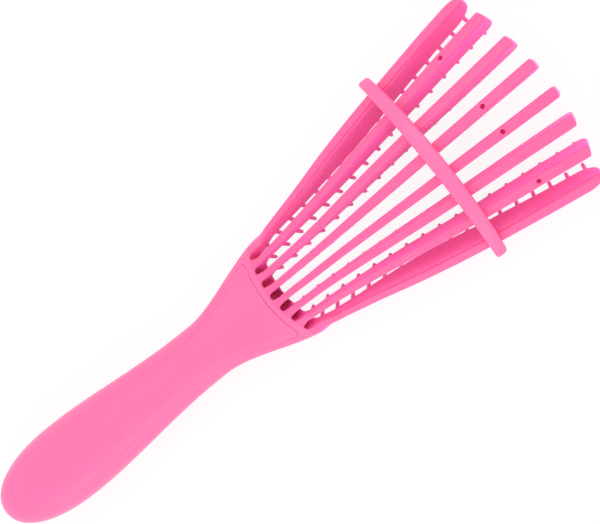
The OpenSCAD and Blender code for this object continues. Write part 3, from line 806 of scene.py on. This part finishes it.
def bar_skin():
    shares = list(np.linspace(-1, 1, 73) * (1 - bar_end))
    caps = [1 - bar_end + bar_end * sind(a) for a in (12, 24, 36, 48, 58, 67, 75, 82, 87, 90)]
    shares = [-c for c in caps[::-1]] + shares + caps
    rings = []
    for s in shares:
        past = max(0.0, abs(s) - 1 + bar_end) / bar_end
        rings.append(bar_ring(s, max(0.02, max(0.0, 1 - past ** 4) ** 0.25)))
    return lofted(rings)


def hook_skin(side):
    """The hook that holds an outer arm, a rounded block with rings along its height."""
    x0, y0, z0 = bar_face + HOOK_GAP, bar_y - HOOK_W / 2 + HOOK_SHIFT, bar_z - HOOK_D
    high = HOOK_D + BAR_GAP + BAR_T / 2
    rings = []
    for t, ease in ((0, 0.45), (0.1, 0.18), (0.3, 0.04), (0.5, 0), (high, 0)):
        r = 0.5
        ring = []
        for cx, cy, a0 in ((x0 + HOOK_T - r, y0 + HOOK_W - r, 0), (x0 + r * 0.4, y0 + HOOK_W - r, 90),
                           (x0 + r * 0.4, y0 + r, 180), (x0 + HOOK_T - r, y0 + r, 270)):
            rr = r if a0 in (0, 270) else r * 0.4
            for a in (0, 30, 60, 90):
                ring.append((cx + (rr - ease * 0.5) * cosd(a0 + a),
                             cy + (r - ease * 0.5) * sind(a0 + a), z0 + t))
        rings.append(ring)
    world = [to_world(HALF, np.array(ring)) for ring in rings]
    if side < 0:
        world = [mirrored(ring) for ring in world]
    return lofted([set_aside(8 if side > 0 else 1, ring) for ring in world])


def cut_away(obj, cutter):
    """Cuts one closed piece out of another and removes the cutter. Where the exact solver
    loses the piece, the manifold one cuts it, and if that loses it too the script stops."""
    mod = obj.modifiers.new("cut", "BOOLEAN")
    mod.operation, mod.object = "DIFFERENCE", cutter
    for solver in ("EXACT", "MANIFOLD"):
        mod.solver = solver
        graph = bpy.context.evaluated_depsgraph_get()
        done = bpy.data.meshes.new_from_object(obj.evaluated_get(graph))
        if len(done.vertices) > 0.5 * len(obj.data.vertices):
            break
    else:
        raise RuntimeError("no solver could cut " + obj.name)
    obj.modifiers.clear()
    obj.data = done
    bpy.data.objects.remove(cutter)
    done.set_sharp_from_angle(angle=math.radians(32))


# Plastics
def linear(r, g, b):
    """Linear colour for a screen colour of 0 to 255."""
    shares = [v / 255 for v in (r, g, b)]
    return tuple(v / 12.92 if v <= 0.04045 else ((v + 0.055) / 1.055) ** 2.4 for v in shares) + (1.0,)


def grain_and_wall_light_group():
    """Grain of a moulded surface: faint cloudiness, fine texture and uneven shine, and a painted lighter pink
    on upright walls that stands in for light passing through and between thin blades.
    """
    tree = bpy.data.node_groups.new("moulded_grain_and_wall_light", "ShaderNodeTree")
    put = tree.interface.new_socket
    put("Position", in_out="INPUT", socket_type="NodeSocketVector")
    for name, value in (("Cloud size", 60.0), ("Cloud depth", 0.03), ("Grain size", 2600.0),
                        ("Grain height", 0.1), ("Shine", 0.36), ("Shine change", 0.08)):
        put(name, in_out="INPUT", socket_type="NodeSocketFloat").default_value = value
    put("Facing", in_out="INPUT", socket_type="NodeSocketVector")
    put("Colour", in_out="INPUT", socket_type="NodeSocketColor")
    put("Painted wall light", in_out="INPUT", socket_type="NodeSocketColor")
    put("Colour", in_out="OUTPUT", socket_type="NodeSocketColor")
    put("Roughness", in_out="OUTPUT", socket_type="NodeSocketFloat")
    put("Normal", in_out="OUTPUT", socket_type="NodeSocketVector")
    add, link = tree.nodes.new, tree.links.new
    given, out = add("NodeGroupInput"), add("NodeGroupOutput")
    cloud = add("ShaderNodeTexNoise")
    cloud.inputs["Detail"].default_value = 3
    link(given.outputs["Position"], cloud.inputs["Vector"])
    link(given.outputs["Cloud size"], cloud.inputs["Scale"])
    centre = add("ShaderNodeMath")
    centre.operation = "SUBTRACT"
    centre.inputs[1].default_value = 0.5
    link(cloud.outputs["Fac"], centre.inputs[0])
    gain = add("ShaderNodeMath")
    gain.operation = "MULTIPLY_ADD"
    gain.inputs[2].default_value = 1.0
    link(centre.outputs[0], gain.inputs[0])
    link(given.outputs["Cloud depth"], gain.inputs[1])
    tint = add("ShaderNodeHueSaturation")
    link(gain.outputs[0], tint.inputs["Value"])
    # painted light: upright walls take a lighter, bluer pink that stands in for light passing through and
    # bouncing between thin blades, by how flat the face lies
    split = add("ShaderNodeSeparateXYZ")
    link(given.outputs["Facing"], split.inputs[0])
    steep = add("ShaderNodeMath")
    steep.operation = "ABSOLUTE"
    link(split.outputs["Z"], steep.inputs[0])
    wall_light_share = add("ShaderNodeMapRange")
    wall_light_share.inputs["From Min"].default_value, wall_light_share.inputs["From Max"].default_value = 0.35, 0.75
    wall_light_share.inputs["To Min"].default_value, wall_light_share.inputs["To Max"].default_value = 1.0, 0.0
    link(steep.outputs[0], wall_light_share.inputs["Value"])
    two = add("ShaderNodeMix")
    two.data_type = "RGBA"
    link(wall_light_share.outputs["Result"], two.inputs["Factor"])
    link(given.outputs["Colour"], two.inputs["A"])
    link(given.outputs["Painted wall light"], two.inputs["B"])
    link(two.outputs["Result"], tint.inputs["Color"])
    link(tint.outputs["Color"], out.inputs["Colour"])
    fine = add("ShaderNodeTexNoise")
    fine.inputs["Detail"].default_value = 2
    link(given.outputs["Position"], fine.inputs["Vector"])
    link(given.outputs["Grain size"], fine.inputs["Scale"])
    bump = add("ShaderNodeBump")
    bump.inputs["Distance"].default_value = 0.00006
    link(given.outputs["Grain height"], bump.inputs["Strength"])
    link(fine.outputs["Fac"], bump.inputs["Height"])
    link(bump.outputs["Normal"], out.inputs["Normal"])
    shine = add("ShaderNodeMath")
    shine.operation = "MULTIPLY_ADD"
    link(centre.outputs[0], shine.inputs[0])
    link(given.outputs["Shine change"], shine.inputs[1])
    link(given.outputs["Shine"], shine.inputs[2])
    link(shine.outputs[0], out.inputs["Roughness"])
    return tree


grain = grain_and_wall_light_group()


def plastic(name, colour, shine, height, cloud=0.05, painted_wall_light=None):
    mat = bpy.data.materials.new(name)
    mat.use_nodes = True
    nodes, link = mat.node_tree.nodes, mat.node_tree.links.new
    shader = nodes["Principled BSDF"]
    place = nodes.new("ShaderNodeTexCoord")
    group = nodes.new("ShaderNodeGroup")
    group.node_tree = grain
    group.inputs["Colour"].default_value = colour
    # the wall colour is painted light, mixed in on upright faces
    group.inputs["Painted wall light"].default_value = painted_wall_light or colour
    group.inputs["Shine"].default_value = shine
    group.inputs["Grain height"].default_value = height
    group.inputs["Cloud depth"].default_value = cloud
    link(place.outputs["Object"], group.inputs["Position"])
    link(place.outputs["Normal"], group.inputs["Facing"])
    link(group.outputs["Colour"], shader.inputs["Base Color"])
    link(group.outputs["Roughness"], shader.inputs["Roughness"])
    link(group.outputs["Normal"], shader.inputs["Normal"])
    shader.inputs["IOR"].default_value = 1.46
    shader.inputs["Subsurface Weight"].default_value = 0.35
    shader.inputs["Subsurface Radius"].default_value = (1.0, 0.4, 0.7)
    shader.inputs["Subsurface Scale"].default_value = 0.0025
    return mat


handle_plastic = plastic("satin_pink_handle", linear(253, 103, 156), 0.40, 0.12)
cover_plastic = plastic("satin_pink_cover", linear(253, 103, 156), 0.40, 0.12)
# the arms' upright walls take a painted lighter, bluer pink that stands in for light passing through and
# bouncing between the thin blades
arm_plastic = plastic("satin_pink_arms", linear(253, 92, 148), 0.42, 0.10,
                      painted_wall_light=linear(255, 108, 192))
bar_plastic = plastic("satin_pink_bar", linear(253, 106, 158), 0.38, 0.08)


def give(obj, material):
    obj.data.materials.clear()
    obj.data.materials.append(material)


# Rows of pegs
def peg_tree():
    """Puts a tapered, round-tipped peg on each point, leaning as the point's own direction says."""
    tree = bpy.data.node_groups.new("peg_row", "GeometryNodeTree")
    put = tree.interface.new_socket
    put("Geometry", in_out="OUTPUT", socket_type="NodeSocketGeometry")
    put("Geometry", in_out="INPUT", socket_type="NodeSocketGeometry")
    ids = {}
    for name in ("Foot radius", "Tip radius", "Reach", "Sink"):
        ids[name] = put(name, in_out="INPUT", socket_type="NodeSocketFloat").identifier
    ids["Sides"] = put("Sides", in_out="INPUT", socket_type="NodeSocketInt").identifier
    ids["Plastic"] = put("Plastic", in_out="INPUT", socket_type="NodeSocketMaterial").identifier
    add, link = tree.nodes.new, tree.links.new
    given, out = add("NodeGroupInput"), add("NodeGroupOutput")
    length = add("ShaderNodeMath")
    link(given.outputs["Reach"], length.inputs[0])
    link(given.outputs["Sink"], length.inputs[1])
    cone = add("GeometryNodeMeshCone")
    link(given.outputs["Sides"], cone.inputs["Vertices"])
    link(given.outputs["Tip radius"], cone.inputs["Radius Top"])
    link(given.outputs["Foot radius"], cone.inputs["Radius Bottom"])
    link(length.outputs[0], cone.inputs["Depth"])
    down = add("ShaderNodeMath")
    down.operation = "MULTIPLY"
    down.inputs[1].default_value = -1
    link(given.outputs["Sink"], down.inputs[0])
    low = add("ShaderNodeCombineXYZ")
    link(down.outputs[0], low.inputs["Z"])
    stem = add("GeometryNodeTransform")
    link(cone.outputs["Mesh"], stem.inputs["Geometry"])
    link(low.outputs[0], stem.inputs["Translation"])
    ball = add("GeometryNodeMeshUVSphere")
    ball.inputs["Rings"].default_value = 8
    link(given.outputs["Sides"], ball.inputs["Segments"])
    link(given.outputs["Tip radius"], ball.inputs["Radius"])
    high = add("ShaderNodeCombineXYZ")
    link(given.outputs["Reach"], high.inputs["Z"])
    tip = add("GeometryNodeTransform")
    link(ball.outputs["Mesh"], tip.inputs["Geometry"])
    link(high.outputs[0], tip.inputs["Translation"])
    both = add("GeometryNodeJoinGeometry")
    link(stem.outputs["Geometry"], both.inputs["Geometry"])
    link(tip.outputs["Geometry"], both.inputs["Geometry"])
    lean = add("GeometryNodeInputNamedAttribute")
    lean.data_type = "FLOAT_VECTOR"
    lean.inputs["Name"].default_value = "lean"
    face = add("FunctionNodeAlignRotationToVector")
    face.axis = "Z"
    link(lean.outputs["Attribute"], face.inputs["Vector"])
    spread = add("GeometryNodeInstanceOnPoints")
    link(given.outputs["Geometry"], spread.inputs["Points"])
    link(both.outputs["Geometry"], spread.inputs["Instance"])
    link(face.outputs["Rotation"], spread.inputs["Rotation"])
    real = add("GeometryNodeRealizeInstances")
    link(spread.outputs["Instances"], real.inputs["Geometry"])
    finish = add("GeometryNodeSetMaterial")
    link(real.outputs["Geometry"], finish.inputs["Geometry"])
    link(given.outputs["Plastic"], finish.inputs["Material"])
    link(finish.outputs["Geometry"], out.inputs["Geometry"])
    return tree, ids


peg_row, peg_ids = peg_tree()


def peg_piece(name, number):
    i, side = index(number), 1 if number > HALF else -1
    turn, place = arm_frame(i)
    places, leans = [], []
    for n in range(PEGS):
        y = peg_y(i, n)
        d = blade_d(i, y)
        if i < HALF:
            more = 1 - float(smooth((y / arm_len(i) - 0.4) / 0.2))
            d = skin_d(number, y) + ((ROOT_PEG - INNER_PEG) * more if side < 0 else 0)
        foot = to_world(i, np.array([[bow(i, y), y, arch(i, y) - d]]))[0]
        lean = turn @ turn_about("X", arch_angle(i, y)) @ np.array([0, 0, -1.0])
        if side < 0:
            foot, lean = mirrored(foot), mirrored(lean)
        places.append(set_aside(number, foot) * MM)
        leans.append(lean)
    mesh = bpy.data.meshes.new(name + "_places")
    mesh.from_pydata([tuple(p) for p in places], [], [])
    direction = mesh.attributes.new("lean", "FLOAT_VECTOR", "POINT")
    direction.data.foreach_set("vector", np.array(leans).ravel())
    obj = bpy.data.objects.new(name, mesh)
    bpy.context.scene.collection.objects.link(obj)
    mod = obj.modifiers.new("pegs", "NODES")
    mod.node_group = peg_row
    mod[peg_ids["Foot radius"]] = PEG_FOOT * MM
    mod[peg_ids["Tip radius"]] = PEG_TIP * MM
    mod[peg_ids["Reach"]] = (PEG_REACH if i == HALF else INNER_PEG - PEG_TIP) * MM
    mod[peg_ids["Sink"]] = (OUTER_SINK if i == HALF else INNER_SINK) * MM
    mod[peg_ids["Sides"]] = 18
    mod[peg_ids["Plastic"]] = arm_plastic
    graph = bpy.context.evaluated_depsgraph_get()
    done = bpy.data.meshes.new_from_object(obj.evaluated_get(graph))
    obj.modifiers.clear()
    obj.data = done
    done.polygons.foreach_set("use_smooth", [True] * len(done.polygons))
    done.set_sharp_from_angle(angle=math.radians(50))
    return obj


# The brush
skin = make_piece("handle_skin", [handle_skin()])
for k in range(1 - HALF, HALF):
    for hollow in pocket_skins(k):
        cut_away(skin, make_piece("pocket", [hollow]))
give(skin, handle_plastic)
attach(skin, "handle")
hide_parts("handle_shell")

cover = make_piece("cover_skin", [cover_skin()])
give(cover, cover_plastic)
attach(cover, "handle")
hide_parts("back_cover")

for number in range(1, 9):
    side, i = (1 if number > HALF else -1), index(number)
    body = "outer_frame" if i == HALF else "arm_%d" % number
    rings = set_aside(number, np.array(arm_rings(number)) * [side, 1, 1])
    blade = make_piece("arm_%d_skin" % number, [lofted(rings)])
    hollows = []
    for k in (number - HALF - 1, number - HALF):
        if abs(k) < HALF:
            hollows += pocket_skins(k)
    if i in (1, 3):
        hollows.append(lofted(set_aside(number, np.array(dimple_skin(i)) * [side, 1, 1])))
    for hollow in hollows:
        cut_away(blade, make_piece("hollow", [hollow]))
    give(blade, arm_plastic)
    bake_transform(blade)
    pegs = peg_piece("arm_%d_pegs" % number, number)
    give(pegs, arm_plastic)
    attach(pegs, body)
    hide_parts("arm_%d" % number)

bar = make_piece("crossbar_skin", [bar_skin(), hook_skin(1), hook_skin(-1)])
give(bar, bar_plastic)
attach(bar, "outer_frame")
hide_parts("crossbar")


# Floor, light and camera
FLOOR_HALF = 6.0


def floor_piece():
    mesh = bpy.data.meshes.new("floor")
    corners = [(FLOOR_HALF * x, FLOOR_HALF * y, 0) for x, y in ((-1, -1), (1, -1), (1, 1), (-1, 1))]
    mesh.from_pydata(corners, [], [(0, 1, 2, 3)])
    obj = bpy.data.objects.new("floor", mesh)
    bpy.context.scene.collection.objects.link(obj)
    mat = bpy.data.materials.new("pale_floor")
    mat.use_nodes = True
    nodes, link = mat.node_tree.nodes, mat.node_tree.links.new
    shader, out = nodes["Principled BSDF"], nodes["Material Output"]
    shader.inputs["Base Color"].default_value = (0.9, 0.9, 0.9, 1)
    shader.inputs["Roughness"].default_value = 0.9
    shader.inputs["Specular IOR Level"].default_value = 0.0
    glow = nodes.new("ShaderNodeEmission")
    rays = nodes.new("ShaderNodeLightPath")
    share = nodes.new("ShaderNodeMath")
    share.operation = "MULTIPLY"
    share.inputs[1].default_value = 0.85
    blend = nodes.new("ShaderNodeMixShader")
    link(rays.outputs["Is Camera Ray"], share.inputs[0])
    link(share.outputs[0], blend.inputs["Fac"])
    link(shader.outputs["BSDF"], blend.inputs[1])
    link(glow.outputs["Emission"], blend.inputs[2])
    link(blend.outputs["Shader"], out.inputs["Surface"])
    mesh.materials.append(mat)
    return obj


floor_piece()


def lamp(name, place, aim, size, power_w):
    data = bpy.data.lights.new(name, "AREA")
    data.shape = "RECTANGLE"
    data.size, data.size_y = size
    data.energy = power_w
    obj = bpy.data.objects.new(name, data)
    bpy.context.scene.collection.objects.link(obj)
    back = np.array(place, float) - np.array(aim, float)
    back /= np.linalg.norm(back)
    right = np.cross([0, 0, 1.0], back)
    if np.linalg.norm(right) < 1e-6:
        right = np.array([1.0, 0, 0])
    right /= np.linalg.norm(right)
    up = np.cross(back, right)
    m = Matrix([[right[k], up[k], back[k], place[k]] for k in range(3)] + [[0, 0, 0, 1]])
    obj.matrix_world = m
    return obj


lamp("key", (-0.55, 0.25, 1.25), (0, 0, 0), (0.8, 0.8), 3.5)
lamp("fill", (1.1, -0.5, 0.7), (0, 0, 0), (1.0, 1.0), 3.5)

world = bpy.data.worlds.new("studio")
bpy.context.scene.world = world
world.use_nodes = True
world.node_tree.nodes["Background"].inputs["Color"].default_value = (1, 1, 1, 1)
world.node_tree.nodes["Background"].inputs["Strength"].default_value = 1.15

# the camera: the brush lies turned by SPIN in the picture, and LEAN, SIDEWAYS, FAR and FOCAL, in
# pixels of a picture 600 wide, were fitted to its outline
SPIN, LEAN, SIDEWAYS, FAR, FOCAL = 39.0, 14.4, 2.5, 597.6, 1815.0
SENSOR_W, PICTURE_W = 36, 600
AIM = np.array([-3.4, 19.65, 15.0])
rest = np.array([[sind(SPIN), cosd(SPIN), 0], [cosd(SPIN), -sind(SPIN), 0], [0, 0, -1.0]])
tip_back = np.array([[1, 0, 0], [0, cosd(LEAN), -sind(LEAN)], [0, sind(LEAN), cosd(LEAN)]])
roll = np.array([[cosd(SIDEWAYS), 0, -sind(SIDEWAYS)], [0, 1, 0], [sind(SIDEWAYS), 0, cosd(SIDEWAYS)]])
view = rest @ tip_back @ roll
camera_data = bpy.data.cameras.new("camera")
camera_data.sensor_width = SENSOR_W
camera_data.sensor_fit = "HORIZONTAL"
camera_data.lens = FOCAL * SENSOR_W / PICTURE_W
camera_data.clip_start, camera_data.clip_end = 0.01, 20
camera = bpy.data.objects.new("camera", camera_data)
bpy.context.scene.collection.objects.link(camera)
axes = np.stack([view[0], -view[1], -view[2]], 1)
camera_place = (AIM - view[2] * FAR) * MM
camera.matrix_world = Matrix([[*axes[k], camera_place[k]] for k in range(3)] + [[0, 0, 0, 1]])
bpy.context.scene.camera = camera
bpy.context.scene.view_settings.view_transform = "Standard"
